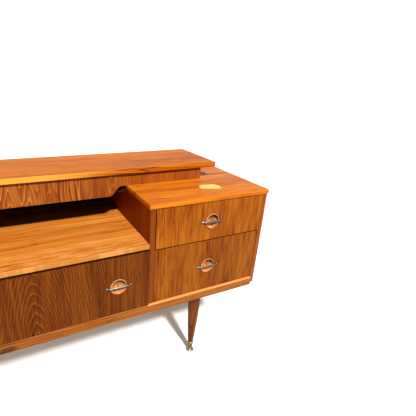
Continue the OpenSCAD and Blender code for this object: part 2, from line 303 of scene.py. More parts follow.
@dataclass(frozen=True)
class Wood:
    """Wood with its grain along one axis.

    Attributes:
        name: name of the finish.
        lay: how the grain lies.
        dark: colour of the darkest lines.
        body: main colour.
        light: colour of the lightest stripes.
        figure: pattern of the growth rings.
        ring: spacing of the rings.
        rings: strength of the rings' dark bands.
        pale: strength of the thin pale lines between them.
        streaks: strength of the stripes between them.
        hairs: strength of the finest fibres.
        veins: strength of a few long thin dark lines.
        tones: strength of the slow changes of tone.
        length: length of the stripes, with 1 for the usual.
        middle: place across the grain of the arches' middle.
        foot: place along the grain where the arches are narrowest.
        heart: depth of the log's heart behind the face at the foot.
        rise: how fast the heart falls away along the grain.
        seed: a number that gives each board its own grain.
        gloss: roughness of the surface.
        shine: strength of the highlights.
        pores: strength of the open pores.
        edge_band: band along one edge, a solid strip or a painted highlight, if there is one.
        wear: place on the Y axis of a worn front edge, if there is one.
        gap: place on the Y axis of the face; the surfaces behind it, seen in the spaces round the board, are
            painted near-black as shade.
        underside_shade: strength of the painted shade on the faces that look down.
        knot: place along and across the grain of a dark knot, if there is one.
    """

    name: str
    lay: Lay
    dark: Colour
    body: Colour
    light: Colour
    figure: Figure = Figure.STRAIGHT
    ring: float = 7 * MM
    rings: float = 0.5
    pale: float = 0.2
    streaks: float = 0.9
    hairs: float = 0.5
    veins: float = 0.15
    tones: float = 0.7
    length: float = 1.0
    middle: float = 0.0
    foot: float = 0.0
    heart: float = 0.045
    rise: float = 0.2
    seed: float = 0.0
    gloss: float = 0.42
    shine: float = 0.07
    pores: float = 0.5
    edge_band: EdgeBand | None = None
    wear: float | None = None
    gap: float | None = None
    underside_shade: float = 0.0
    knot: tuple[float, float] | None = None

    def _field(self, graph: Graph, along: Num, line: Num) -> Num:
        """Counts the growth rings from the log's heart.

        Args:
            graph: the node tree.
            along: distance along the grain.
            line: distance across the grain from the middle, with the grain's wander in it.

        Returns:
            The number of rings, whose fraction is the place within one ring.
        """
        if self.figure is Figure.CROWN:
            depth = (along - self.foot) * self.rise + self.heart
            radius = (line.size() ** 1.5 + depth**1.5) ** (1 / 1.5)
        elif self.figure is Figure.WAVY:
            swing = graph.noise(line / 0.085, along / 0.5, self.seed + 9.0, 1.0) - 0.5
            radius = line * 0.25 + swing * 0.16 + along * self.rise
        else:
            radius = line + along * 0.03
        uneven = graph.noise(line / 0.03, along / 0.6, self.seed + 4.0, 1.0) - 0.5
        return radius / self.ring + uneven * 2.2

    def material(self) -> bpy.types.Material:
        """Builds the wood.

        Returns:
            The material.
        """
        graph = Graph(self.name)
        along, across, through = (graph.axis[letter] for letter in self.lay.value)
        face = across + through * 0.83
        wander = graph.noise(face / 0.09, along / 0.3, self.seed + 1.0, 2.0) - 0.5
        line = face - self.middle + wander * 0.012
        place = self._field(graph, along, line).fraction()
        band = place**2.0
        thread = (place - 0.1).size().between(0.14, 0.02)
        bold = graph.noise(face / 0.05, along / 0.5, self.seed + 2.0, 1.0).between(0.3, 0.7)
        run = along / self.length
        tone = graph.noise(face / 0.06, run / 0.55, self.seed + 3.0, 2.0) - 0.5
        streak = graph.noise(line / 0.0075, run / 0.22, self.seed + 5.0, 3.0) - 0.5
        hair = graph.noise(line / 0.0016, run / 0.07, self.seed + 6.0, 2.0) - 0.5
        bend = graph.noise(line / 0.035, along / 0.7, self.seed + 12.0, 2.0) - 0.5
        vein = bend.size().between(0.014, 0.0)
        shade = (
            0.52
            - vein * self.veins
            + tone * self.tones
            + streak * self.streaks
            + hair * self.hairs
            + (bold * 0.7 + 0.3) * (thread * self.pale - (band - 0.33) * self.rings)
        )
        colour = graph.ramp(shade, [(0.12, self.dark), (0.88, self.light), (0.5, self.body)])
        pore = graph.noise(face / 0.0006, along / 0.011, self.seed + 7.0, 1.0).between(0.64, 0.74)
        colour = graph.blend(pore * (0.55 * self.pores), colour, tuple(c * 0.45 for c in self.dark))
        if self.edge_band:
            colour = self._lay_band(graph, colour, hair)
        if self.wear is not None:
            colour = self._worn(graph, colour, along, across)
        if self.knot:
            colour = self._knotted(graph, colour, along, across)
        # Painted shade: faces that look down are darkened towards near-black.
        if self.underside_shade:
            colour = graph.blend(graph.underside(0.12, -0.3) * self.underside_shade, colour, (0.02, 0.01, 0.006))
        # Painted shade: surfaces more than a millimetre behind the face, as round a drawer front, go
        # near-black.
        if self.gap is not None:
            gap_shade = (graph.axis["y"] - self.gap).between(0.6 * MM, 1.8 * MM)
            colour = graph.blend(gap_shade * 0.9, colour, (0.012, 0.004, 0.002))
        height = hair * 0.5 + streak * 0.4 - pore * self.pores - band * 0.25
        sheen = graph.speckle(0.05, 3.0) - 0.5
        return graph.finish(
            Base_Color=colour,
            Roughness=pore * 0.2 + sheen * 0.12 + streak * 0.1 + self.gloss,
            Normal=graph.relief(height, 0.12 * MM, 0.6),
            Specular_IOR_Level=self.shine,
        )

    def _lay_band(self, graph: Graph, colour: bpy.types.NodeSocket, hair: Num) -> bpy.types.NodeSocket:
        """Lays the edge band, a solid strip or a painted highlight, and its glue line over the veneer."""
        trim = self.edge_band
        reach = graph.axis[trim.axis] - (trim.edge + trim.width)
        blur = math.copysign(0.3 * MM, trim.width)
        strip = reach.between(blur, -blur)
        glue = reach.size().between(0.9 * MM, 0.2 * MM)
        if trim.fade:
            strip = strip * graph.axis["x"].between(trim.fade[1], trim.fade[0])
        plain = graph.ramp(hair + 0.5, [(0.2, tuple(c * 0.72 for c in trim.colour)), (0.8, trim.colour)])
        return graph.blend(glue * 0.45, graph.blend(strip, colour, plain), tuple(c * 0.6 for c in self.dark))

    def _knotted(
        self, graph: Graph, colour: bpy.types.NodeSocket, along: Num, across: Num
    ) -> bpy.types.NodeSocket:
        """Darkens the grain round a knot."""
        far = ((along - self.knot[0]) / 0.03) ** 2.0 + ((across - self.knot[1]) / 0.012) ** 2.0
        ragged = graph.noise(along / 0.012, across / 0.006, self.seed + 13.0, 3.0) - 0.5
        return graph.blend((far + ragged * 1.6).between(1.3, 0.1) * 0.8, colour, (0.03, 0.014, 0.006))

    def _worn(
        self, graph: Graph, colour: bpy.types.NodeSocket, along: Num, across: Num
    ) -> bpy.types.NodeSocket:
        """Rubs the finish near the front edge, in long broken patches."""
        near = (across - self.wear).between(0.15, 0.0)
        patch = graph.noise(across / 0.012, along / 0.09, self.seed + 8.0, 3.0, 0.7).between(0.44, 0.62)
        pale = tuple(min(1.0, c * 1.12 + 0.05) for c in self.light)
        scuff = graph.noise(across / 0.004, along / 0.05, self.seed + 11.0, 2.0).between(0.6, 0.7)
        colour = graph.blend(near * patch * 0.5, colour, pale)
        return graph.blend(near * scuff * 0.35, colour, tuple(c * 0.9 for c in self.dark))


@dataclass(frozen=True)
class Metal:
    """Worn metal.

    Attributes:
        name: name of the finish.
        bright: colour where it is rubbed clean.
        dull: colour where it has tarnished.
        gloss: roughness of the clean metal.
        tarnish: share of the surface that has dulled.
        underside_shade: strength of the painted shade on the faces that look down.
        across: axis that the fine scratches run across.
    """

    name: str
    bright: Colour
    dull: Colour
    gloss: float = 0.28
    tarnish: float = 0.4
    underside_shade: float = 0.0
    across: str = "z"

    def material(self) -> bpy.types.Material:
        """Builds the metal.

        Returns:
            The material.
        """
        graph = Graph(self.name)
        cloud = graph.speckle(0.012, 4.0)
        dull = cloud.between(0.62 - 0.4 * self.tarnish, 0.72)
        other = graph.axis["x" if self.across != "x" else "y"]
        scratch = graph.noise(graph.axis[self.across] / 0.00035, other / 0.03, 2.0, 2.0) - 0.5
        spot = graph.speckle(0.0022, 2.0).between(0.66, 0.74)
        colour = graph.blend(dull, self.bright, self.dull)
        colour = graph.blend(spot * 0.5, colour, tuple(c * 0.5 for c in self.dull))
        # Painted shade: faces that look down are darkened towards near-black.
        if self.underside_shade:
            colour = graph.blend(graph.underside(0.3, -0.2) * self.underside_shade, colour, (0.02, 0.016, 0.012))
        return graph.finish(
            Base_Color=colour,
            Metallic=1.0 - spot * 0.3,
            Roughness=dull * 0.22 + spot * 0.2 + scratch * 0.12 + self.gloss,
            Normal=graph.relief(scratch + cloud * 0.5, 0.03 * MM, 0.5),
        )


@dataclass(frozen=True)
class MirrorSilver:
    """Silvered glass with a little foxing near its edges.

    Attributes:
        low: lowest corner of the glass.
        high: highest corner of the glass.
    """

    low: Vector
    high: Vector

    def material(self) -> bpy.types.Material:
        """Builds the silvering.

        Returns:
            The material.
        """
        graph = Graph("silvered_glass")
        ends = ((self.high.x - self.low.x) / 2 - graph.axis["x"].size()).between(0.02, 0.0)
        centre = (self.high.y + self.low.y) / 2
        edges = ((self.high.y - self.low.y) / 2 - (graph.axis["y"] - centre).size()).between(0.02, 0.0)
        rim = ends.math("MAXIMUM", edges)
        spots = (graph.speckle(0.004, 4.0) + rim * 0.16).between(0.66, 0.74)
        haze = graph.speckle(0.06, 3.0)
        return graph.finish(
            Base_Color=graph.blend(spots, (0.88, 0.91, 0.91), (0.16, 0.13, 0.1)),
            Metallic=1.0 - spots * 0.7,
            Roughness=haze * 0.03 + spots * 0.5 + 0.005,
        )


@dataclass(frozen=True)
class Paper:
    """Cream paper with fibres and a faint stain.

    Attributes:
        colour: colour of the clean paper.
    """

    colour: Colour

    def material(self) -> bpy.types.Material:
        """Builds the paper.

        Returns:
            The material.
        """
        graph = Graph("cream_paper")
        fibre = graph.noise(graph.axis["x"] / 0.0008, graph.axis["y"] / 0.004, 3.0, 3.0) - 0.5
        stain = graph.speckle(0.02, 3.0).between(0.5, 0.75)
        aged = tuple(c * f for c, f in zip(self.colour, (0.8, 0.66, 0.5)))
        colour = graph.blend(stain * 0.35, self.colour, aged)
        return graph.finish(
            Base_Color=graph.blend((fibre + 0.5) * 0.18, colour, (0.55, 0.42, 0.2)),
            Roughness=fibre * 0.1 + 0.8,
            Specular_IOR_Level=0.1,
            Normal=graph.relief(fibre, 0.08 * MM, 0.5),
        )


@dataclass(frozen=True)
class Plywood:
    """Thin unfinished plywood, with its layers showing on the edges.

    Attributes:
        name: name of the finish.
        lay: how the face grain lies.
        tint: main colour.
    """

    name: str
    lay: Lay
    tint: Colour

    def material(self) -> bpy.types.Material:
        """Builds the plywood.

        Returns:
            The material.
        """
        graph = Graph(self.name)
        along, across, through = (graph.axis[letter] for letter in self.lay.value)
        wide = graph.noise(across / 0.08, along / 0.5, 1.0, 2.0) - 0.5
        streak = graph.noise(across / 0.009, along / 0.25, 2.0, 3.0) - 0.5
        fleck = graph.noise(across / 0.0009, along / 0.012, 3.0, 1.0).between(0.62, 0.72)
        layer = (through / 0.0015).fraction().between(0.35, 0.65)
        shade = 0.5 + wide * 0.6 + streak * 0.6 + (layer - 0.5) * 0.12
        dark = tuple(c * 0.6 for c in self.tint)
        light = tuple(min(1.0, c * 1.3) for c in self.tint)
        colour = graph.ramp(shade, [(0.15, dark), (0.85, light), (0.5, self.tint)])
        return graph.finish(
            Base_Color=graph.blend(fleck * 0.35, colour, dark),
            Roughness=fleck * 0.1 + streak * 0.1 + 0.72,
            Specular_IOR_Level=0.1,
            Normal=graph.relief(streak - fleck * 0.6, 0.15 * MM, 0.6),
        )


class Store:
    """Builds each finish once and hands it out."""

    def __init__(self) -> None:
        """Starts with an empty shelf."""
        self.shelf: dict[str, bpy.types.Material] = {}

    def get(self, finish: "Wood | Metal | MirrorSilver | Paper | Plywood") -> bpy.types.Material:
        """Gives the material of a finish, which it builds the first time."""
        key = repr(finish)
        if key not in self.shelf:
            self.shelf[key] = finish.material()
        return self.shelf[key]


@dataclass
class Palette:
    """The finishes of the table's parts.

    Attributes:
        store: where the materials are kept.
    """

    store: Store = field(default_factory=Store)

    def case(self, name: str, lay: Lay, seed: float = 0.0) -> Wood:
        """Veneer of the carcase boards."""
        dark, body, light = paint(74, 26, 2), paint(128, 60, 9), paint(157, 90, 27)
        return Wood(name, lay, dark, body, light, seed=seed, ring=9 * MM, rings=0.35)

    def inner(self, name: str, lay: Lay, seed: float = 0.0, edge: float | None = None) -> Wood:
        """Darker veneer of the boards round the open space."""
        trim = None if edge is None else EdgeBand("y", edge, 2 * MM, paint(122, 58, 10))
        dark, body, light = paint(69, 20, 0), paint(133, 50, 2), paint(168, 76, 3)
        return Wood(name, lay, dark, body, light, seed=seed, rings=0.3, edge_band=trim)

    def front_straight(self, name: str, seed: float, face: float) -> Wood:
        """Stripes up a pedestal's drawer front, darker on the lower drawers, with its edges behind the face
        painted near-black as shade.
        """
        if "lower" in name:
            dark, body, light = paint(81, 31, 1), paint(119, 57, 4), paint(141, 81, 11)
        else:
            dark, body, light = paint(95, 40, 1), paint(136, 66, 4), paint(158, 91, 14)
        return Wood(
            name, Lay.UP_FRONT, dark, body, light, seed=seed, ring=8 * MM, rings=0.25, tones=1.3,
            streaks=1.3, hairs=0.8, length=0.55, gap=face,
        )  # fmt: skip

    def front_crown(self, middle: float, foot: float, face: float) -> Wood:
        """Nested arches on the centre drawer's front, with its edges behind the face painted near-black as
        shade.
        """
        dark, body, light = paint(48, 14, 1), paint(89, 37, 1), paint(125, 68, 7)
        return Wood(
            "crown_veneer", Lay.UP_FRONT, dark, body, light, Figure.CROWN,
            ring=6.5 * MM, rings=0.3, pale=0.24, streaks=0.7, tones=0.6, seed=21.0,
            middle=middle + 0.83 * face, foot=foot, gap=face,
        )  # fmt: skip

    def apron(self) -> Wood:
        """Swinging lines on the apron."""
        dark, body, light = paint(86, 33, 3), paint(133, 64, 16), paint(166, 104, 42)
        return Wood(
            "apron_veneer", Lay.UP_FRONT, dark, body, light, Figure.WAVY,
            ring=6 * MM, rings=0.35, pale=0.35, streaks=0.8, tones=0.5, rise=0.1, seed=31.0,
        )  # fmt: skip

    def side_front(self, seed: float) -> Wood:
        """Plain veneer of the boards that stand on the pedestals."""
        dark, body, light = paint(98, 40, 6), paint(141, 69, 18), paint(163, 95, 34)
        return Wood(
            f"box_front_veneer_{seed:g}", Lay.UP_FRONT, dark, body, light, seed=seed, rings=0.15, pale=0.1,
            streaks=0.5, tones=0.5, length=2.0,
        )  # fmt: skip

    def lid(self, edge: float) -> Wood:
        """The lid's veneer and its pale edge strip, which fades out towards the right: partly the strip's own
        colour, partly a painted highlight.
        """
        dark, body, light = paint(93, 31, 0), paint(170, 83, 2), paint(187, 112, 4)
        # Partly painted highlight: the pale strip is full left of the middle and fades out by x = 0.35.
        trim = EdgeBand("y", edge, 1.6 * MM, paint(231, 155, 57), fade=(0.0, 0.35))
        return Wood(
            "lid_veneer", Lay.ALONG_TOP, dark, body, light, seed=41.0, ring=16 * MM, rings=0.5,
            streaks=1.1, hairs=0.7, veins=0.3, tones=0.9, length=3.5, shine=0.03, edge_band=trim,
        )  # fmt: skip

    def pedestal_top(self, side: str) -> Wood:
        """Veneer of a pedestal's top."""
        dark, body, light = paint(124, 48, 4), paint(176, 88, 12), paint(196, 122, 30)
        seed = 51.0 if side == "right" else 57.0
        return Wood(
            f"top_veneer_{side}", Lay.ALONG_TOP, dark, body, light, seed=seed, ring=14 * MM, rings=0.4,
            streaks=1.1, hairs=0.7, veins=0.3, tones=1.0, length=1.8, shine=0.04,
        )  # fmt: skip

    def low_top(self, edge: float) -> Wood:
        """Veneer of the low centre top, worn along its front."""
        dark, body, light = paint(111, 48, 11), paint(181, 101, 27), paint(200, 132, 55)
        trim = EdgeBand("y", edge, 1.6 * MM, paint(186, 118, 48))
        return Wood(
            "low_top_veneer", Lay.ALONG_TOP, dark, body, light, seed=61.0,
            ring=9 * MM, rings=0.35, streaks=1.05, hairs=0.9, veins=0.2, tones=1.0, length=2.2,
            shine=0.05, edge_band=trim, wear=edge,
        )  # fmt: skip

    def rail(self, top: float) -> Wood:
        """Solid teak of the front rail, with a painted highlight along its upper edge under the right-hand
        pedestal.
        """
        dark, body, light = paint(83, 38, 5), paint(134, 72, 20), paint(157, 97, 40)
        # Painted highlight: a pale band over the rail's top and the upper 2.6 mm of its front, right of x =
        # 0.31 only, stands for the lit ledge.
        painted_highlight = EdgeBand("z", top, -2.6 * MM, paint(240, 150, 84), fade=(0.313, 0.309))
        return Wood(
            "rail_teak", Lay.ALONG_FRONT, dark, body, light, seed=71.0, ring=10 * MM, rings=0.4,
            edge_band=painted_highlight, knot=(-0.107, top - 0.021),
        )  # fmt: skip

    def leg(self) -> Wood:
        """Solid teak of the turned legs."""
        dark, body, light = paint(54, 20, 3), paint(93, 47, 14), paint(113, 64, 27)
        return Wood("leg_teak", Lay.UP_FRONT, dark, body, light, seed=81.0, ring=6 * MM, rings=0.35)

    def cup(self) -> Wood:
        """Paler wood of the turned cups, with painted shade on the faces that look down, as on the hollow's
        upper wall.
        """
        dark, body, light = paint(137, 71, 26), paint(188, 117, 63), paint(212, 151, 97)
        return Wood("cup_wood", Lay.UP_FRONT, dark, body, light, seed=91.0, ring=5 * MM, rings=0.8, underside_shade=0.9)

    def gap(self) -> Wood:
        """Near-black wood of the thin ring round a cup: a dark joint, with the rim's painted shadow in it."""
        dark, body, light = paint(20, 8, 3), paint(40, 18, 8), paint(66, 32, 14)
        return Wood("joint_shade", Lay.UP_FRONT, dark, body, light, seed=95.0)

    def beech(self, name: str, lay: Lay) -> Wood:
        """Plain beech of the parts inside."""
        dark, body, light = paint(164, 118, 70), paint(206, 164, 112), paint(228, 192, 146)
        return Wood(
            name, lay, dark, body, light, seed=101.0, ring=12 * MM, rings=0.25, streaks=0.4,
            tones=0.4, gloss=0.6,
        )  # fmt: skip

    # The last number of each metal sets its painted shade on the faces that look down.
    brass: Metal = Metal("worn_brass", (0.46, 0.31, 0.12), (0.16, 0.1, 0.04), 0.3, 0.6, 0.5)
    nickel: Metal = Metal("dull_nickel", (0.42, 0.41, 0.35), (0.18, 0.17, 0.13), 0.32, 0.45, 0.92)
    foot_nickel: Metal = Metal("foot_nickel", (0.34, 0.32, 0.26), (0.16, 0.15, 0.12), 0.45, 0.6, 0.5)


# ---- Modelling ----


class Bench:
    """Dresses the CAD nodes and turns finished meshes into pieces that ride on the frame."""

    def __init__(self, palette: Palette) -> None:
        """Keeps the palette.

        Args:
            palette: finishes of the parts.
        """
        self.palette = palette

    def dress(self, node: str, finish: object, ease: float = 0.7 * MM) -> None:
        """Gives a CAD node its finish and eased edges.

        Args:
            node: name of the node.
            finish: finish of its surface.
            ease: radius of the eased edges, or 0 to leave them.
        """
        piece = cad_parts[node]
        material = self.palette.store.get(finish)
        if not piece.material_slots:
            piece.data.materials.append(material)
        for slot in piece.material_slots:
            slot.material = material
        if ease:
            weld = piece.modifiers.new("merge", "WELD")
            weld.merge_threshold = 0.01 * MM
            bevel = piece.modifiers.new("ease", "BEVEL")
            bevel.width = ease
            bevel.segments = 3
            bevel.limit_method = "ANGLE"
            bevel.angle_limit = math.radians(40)
            bevel.use_clamp_overlap = True
        LOG.info("dressed %s in %s", node, material.name)

    def place(
        self,
        name: str,
        shape: bmesh.types.BMesh,
        body: str,
        finish: object,
        slot: str,
        replaced: Iterable[str] = (),
        smooth: float = 35.0,
    ) -> bpy.types.Object:
        """Turns a mesh into a piece.

        Args:
            name: name of the piece.
            shape: its mesh, in place; it is freed.
            body: CAD body that it rides on.
            finish: finish of its surface.
            slot: name of a material slot; not used.
            replaced: CAD nodes that it stands for.
            smooth: edges sharper than this angle, in degrees, stay sharp.

        Returns:
            The piece.
        """
        bmesh.ops.recalc_face_normals(shape, faces=shape.faces)
        mesh = bpy.data.meshes.new(name)
        shape.to_mesh(mesh)
        shape.free()
        mesh.polygons.foreach_set("use_smooth", [True] * len(mesh.polygons))
        mesh.set_sharp_from_angle(angle=math.radians(smooth))
        mesh.materials.append(self.palette.store.get(finish))
        piece = bpy.data.objects.new(name, mesh)
        bpy.context.scene.collection.objects.link(piece)
        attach(piece, body)
        if replaced:
            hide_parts(*replaced)
        LOG.info("built %s, %d faces, on %s", name, len(mesh.polygons), body)
        return piece


def merge(shapes: Iterable[bmesh.types.BMesh]) -> bmesh.types.BMesh:
    """Joins several meshes into one and frees them."""
    whole = bmesh.new()
    for shape in shapes:
        part = bpy.data.meshes.new("part")
        shape.to_mesh(part)
        shape.free()
        whole.from_mesh(part)
        bpy.data.meshes.remove(part)
    return whole


def slab(low: Vector, high: Vector) -> bmesh.types.BMesh:
    """Makes a box between two corners."""
    shape = bmesh.new()
    bmesh.ops.create_cube(shape, size=1.0)
    size = high - low
    bmesh.ops.scale(shape, verts=shape.verts, vec=size)
    bmesh.ops.translate(shape, verts=shape.verts, vec=(low + high) / 2)
    return shape


def round_edges(
    shape: bmesh.types.BMesh, edges: list[bmesh.types.BMEdge], radius: float, segments: int
) -> None:
    """Rounds some edges of a mesh.

    Args:
        shape: the mesh.
        edges: the edges to round.
        radius: radius of the round.
        segments: faces across it.
    """
    bmesh.ops.bevel(
        shape, geom=edges, offset=radius, offset_type="OFFSET", segments=segments, profile=0.5,
        affect="EDGES", material=-1, clamp_overlap=True,
    )  # fmt: skip


def sharp_edges(shape: bmesh.types.BMesh, least: float = 40.0) -> list[bmesh.types.BMEdge]:
    """Finds the edges that turn by more than an angle in degrees."""
    limit = math.radians(least)
    return [e for e in shape.edges if len(e.link_faces) == 2 and e.calc_face_angle(0.0) > limit]


def edges_where(shape: bmesh.types.BMesh, test: Callable[[Vector], bool]) -> list[bmesh.types.BMEdge]:
    """Finds the edges whose two ends both pass a test."""
    return [e for e in shape.edges if all(test(v.co) for v in e.verts)]


def turned(
    profile: list[tuple[float, float]], axis: Vector, centre: Vector, steps: int = 48
) -> bmesh.types.BMesh:
    """Turns a profile round an axis.

    Args:
        profile: distances from the axis and heights along it.
        axis: direction of the axis, up or towards the front.
        centre: where height 0 lies.
        steps: faces round the turn.

    Returns:
        The closed mesh.
    """
    side = Vector((1.0, 0.0, 0.0))
    shape = bmesh.new()
    points = [shape.verts.new(centre + side * radius + axis * height) for radius, height in profile]
    lines = [shape.edges.new(pair) for pair in zip(points, points[1:])]
    bmesh.ops.spin(
        shape, geom=points + lines, cent=centre, axis=axis, angle=math.tau, steps=steps, use_merge=True
    )
    bmesh.ops.remove_doubles(shape, verts=shape.verts, dist=0.002 * MM)
    return shape


def arc(
    centre: tuple[float, float], radius: float, start: float, end: float, count: int = 8
) -> list[tuple[float, float]]:
    """Gives the points of an arc.

    Args:
        centre: its centre.
        radius: its radius.
        start: first angle in degrees.
        end: last angle in degrees.
        count: number of spans.

    Returns:
        The points in order.
    """
    angles = [math.radians(start + (end - start) * i / count) for i in range(count + 1)]
    return [(centre[0] + radius * math.cos(a), centre[1] + radius * math.sin(a)) for a in angles]


def screw(centre: Vector, axis: Vector, radius: float) -> bmesh.types.BMesh:
    """Makes a domed screw head.

    Args:
        centre: middle of its seat.
        axis: direction that it faces.
        radius: radius of the head.

    Returns:
        The mesh.
    """
    dome = arc((radius * 0.55, 0.0), radius * 0.45, 0, 80, 4)
    profile = [(0.0, 0.0), (radius, 0.0), *dome, (0.0, radius * 0.46)]
    return turned(profile, axis, centre, 20)


@dataclass
class PedestalTop:
    """The top of one pedestal, with a rounded nose along its front and outer edges.

    Attributes:
        side: "left" or "right".
        corner: radius of the outer front corner, seen from above.
        nose: radius of the upper edges.
        under: radius of the lower edges.
        ease: radius of the other edges.
    """

    side: str
    corner: float = 10 * MM
    nose: float = 6.5 * MM
    under: float = 4.5 * MM
    ease: float = 1.2 * MM

    def build(self, bench: Bench) -> None:
        """Builds and dresses the top.

        Args:
            bench: the bench that places it.
        """
        node = f"pedestal_top_{self.side}"
        low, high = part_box(node)
        sign = SIDES[self.side]
        outer = high.x if sign > 0 else low.x
        shape = slab(low, high)
        tiny = 0.1 * MM
        corner = edges_where(shape, lambda p: abs(p.x - outer) < tiny and abs(p.y - low.y) < tiny)
        round_edges(shape, corner, self.corner, 8)

        def on_rim(point: Vector) -> bool:
            """Tells whether a point lies on the front or outer edge, or on the corner between them."""
            near_front = point.y < low.y + self.corner + tiny and abs(point.x - outer) < self.corner + tiny
            return abs(point.y - low.y) < tiny or abs(point.x - outer) < tiny or near_front

        upper = edges_where(shape, lambda p: abs(p.z - high.z) < tiny and on_rim(p))
        upper = [e for e in upper if e in sharp_edges(shape)]
        round_edges(shape, upper, self.nose, 6)
        lower = edges_where(shape, lambda p: abs(p.z - low.z) < tiny and on_rim(p))
        lower = [e for e in lower if e in sharp_edges(shape)]
        round_edges(shape, lower, self.under, 5)
        round_edges(shape, sharp_edges(shape, 60.0), self.ease, 3)
        finish = bench.palette.pedestal_top(self.side)
        bench.place(f"top_board_{self.side}", shape, "carcase", finish, "teak_top", [node])


@dataclass
class Handle:
    """A turned cup in a drawer front with a metal bar across it.

    Attributes:
        name: name of the drawer.
        cups: CAD node of the cup or cups.
        bars: CAD node of the bar or bars.
        centres: middle of each handle on the drawer's face.
        radius: outer radius of the cup's rim.
        body: radius of the cup behind the face.
        depth: depth of the finger recess.
        behind: depth of the cup behind the face.
        length: length of the bar.
        height: height of the bar's strip.
        thick: thickness of the bar's strip.
        reach: reach of the bar in front of the face.
        straight: length of the bar's straight middle.
    """

    name: str
    cups: str
    bars: str
    centres: list[Vector]
    radius: float = 26.8 * MM
    body: float = 25 * MM
    depth: float = 9.6 * MM
    behind: float = 12.2 * MM
    length: float = 82 * MM
    height: float = 7 * MM
    thick: float = 2.8 * MM
    reach: float = 8 * MM
    straight: float = 60 * MM

    def _cup(self, centre: Vector) -> bmesh.types.BMesh:
        """Turns one cup with a raised rim and a hollow for the fingers."""
        rim = 1.6 * MM
        wall = self.radius - 4.2 * MM
        profile = [(0.0, -self.behind), (self.body, -self.behind), (self.body, 0.05 * MM)]
        profile += arc((self.radius - rim, 0.0), rim, 0, 90, 5)
        profile += arc((wall + 1.2 * MM, rim - 1.4 * MM), 1.4 * MM, 90, 180, 4)
        bowl = arc((0.0, 0.0), 1.0, 0, 90, 14)
        profile += [(wall * across, -self.depth * deep**0.6) for across, deep in bowl]
        return turned(profile, Vector((0.0, -1.0, 0.0)), centre, 56)

    def _shade_ring(self, centre: Vector) -> bmesh.types.BMesh:
        """Turns the thin near-black ring round one cup's rim: its joint and the rim's painted shadow."""
        inner, outer = self.radius - 0.8 * MM, self.radius + 1.3 * MM
        profile = [(inner, 0.0), (outer, 0.0), (outer, 0.15 * MM), (inner, 0.45 * MM), (inner, 0.0)]
        return turned(profile, Vector((0.0, -1.0, 0.0)), centre, 56)

    def _bar(self, centre: Vector) -> bmesh.types.BMesh:
        """Bends one strip: flat pads on the face, cranked ends, and a straight middle."""
        half, mid = self.length / 2, self.straight / 2
        pad = half - 6.5 * MM
        outline = [(mid, self.reach), (pad, self.thick), (half, self.thick), (half, 0.0), (pad - MM, 0.0)]
        outline += [(mid - 0.6 * MM, self.reach - self.thick)]
        outline += [(-x, y) for x, y in reversed(outline)]
        shape = bmesh.new()
        low = self.height / 2
        corners = [shape.verts.new(centre + Vector((x, -y, -low))) for x, y in outline]
        face = shape.faces.new(corners)
        lifted = bmesh.ops.extrude_face_region(shape, geom=[face])
        moved = [v for v in lifted["geom"] if isinstance(v, bmesh.types.BMVert)]
        bmesh.ops.translate(shape, verts=moved, vec=(0.0, 0.0, self.height))
        ends = edges_where(shape, lambda p: abs(abs(p.x - centre.x) - half) < 0.1 * MM)
        ends = [e for e in ends if abs(e.verts[0].co.z - e.verts[1].co.z) < 0.1 * MM]
        round_edges(shape, ends, self.height * 0.42, 6)
        kinks = [e for e in shape.edges if abs(e.verts[0].co.z - e.verts[1].co.z) > self.height * 0.9]
        round_edges(shape, [e for e in kinks if e in sharp_edges(shape, 15.0)], 1.6 * MM, 3)
        front = [e for e in sharp_edges(shape, 50.0) if self._faces_front(e)]
        round_edges(shape, front, 2.3 * MM, 5)
        return shape

    @staticmethod
    def _faces_front(edge: bmesh.types.BMEdge) -> bool:
        """Tells whether one of an edge's faces looks forwards."""
        return any(face.normal.y < -0.3 for face in edge.link_faces)

    def build(self, bench: Bench, body: str) -> None:
        """Builds and dresses the drawer's cups, bars and screws.

        Args:
            bench: the bench that places them.
            body: CAD body of the drawer.
        """
        cups = merge(self._cup(centre) for centre in self.centres)
        bench.place(f"turned_cup_{self.name}", cups, body, bench.palette.cup(), "teak_solid", [self.cups])
        # Painted shadow: a near-black ring round each cup's rim, partly its dark joint.
        shade_rings = merge(self._shade_ring(centre) for centre in self.centres)
        bench.place(f"cup_shade_ring_{self.name}", shade_rings, body, bench.palette.gap(), "teak_solid")
        bars = merge(self._bar(centre) for centre in self.centres)
        bench.place(f"bar_handle_{self.name}", bars, body, bench.palette.nickel, "nickel", [self.bars])
        front = Vector((0.0, -1.0, 0.0))
        reach = self.length / 2 - 3.6 * MM
        offsets = [Vector((x, -self.thick, 0.0)) for x in (-reach, reach)]
        heads = merge(screw(c + o, front, 1.9 * MM) for c in self.centres for o in offsets)
        bench.place(f"bar_screws_{self.name}", heads, body, bench.palette.foot_nickel, "nickel")


